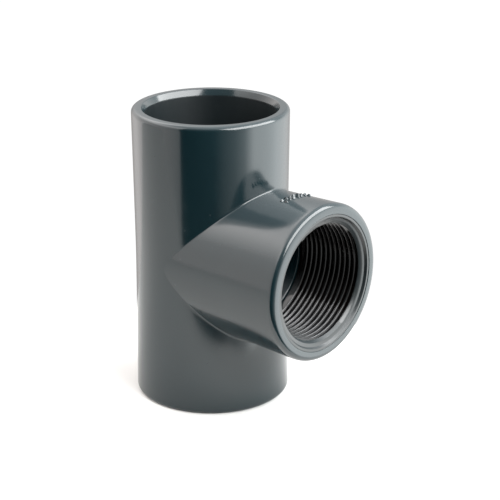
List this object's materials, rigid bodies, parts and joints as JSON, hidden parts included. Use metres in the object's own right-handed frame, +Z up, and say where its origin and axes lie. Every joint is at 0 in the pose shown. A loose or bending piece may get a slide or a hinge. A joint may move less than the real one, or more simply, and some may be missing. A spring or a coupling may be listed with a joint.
{
  "type": "threaded pipe tee",
  "caption": "Grey plastic pipe tee: a straight run with a plain pipe socket at each end, and a square branch with an internal parallel pipe thread.",
  "frame": {"origin": "centre of the bounding box's base: on the lower rim's plane, 13.5 mm from the run's axis towards the branch", "axes": "+Z up the run, +X out of the branch, +Y across both, along the shortest side"},
  "size_m": [0.087, 0.06, 0.114],
  "materials": {
    "tee_pvc": "glossy moulded dark grey PVC-U",
    "bush_pvc": "satin moulded dark grey PVC-U, threaded bore"
  },
  "bodies": {
    "root": {"tee_body": "tee_pvc", "threaded_bush": "bush_pvc"}
  },
  "joints": []
}
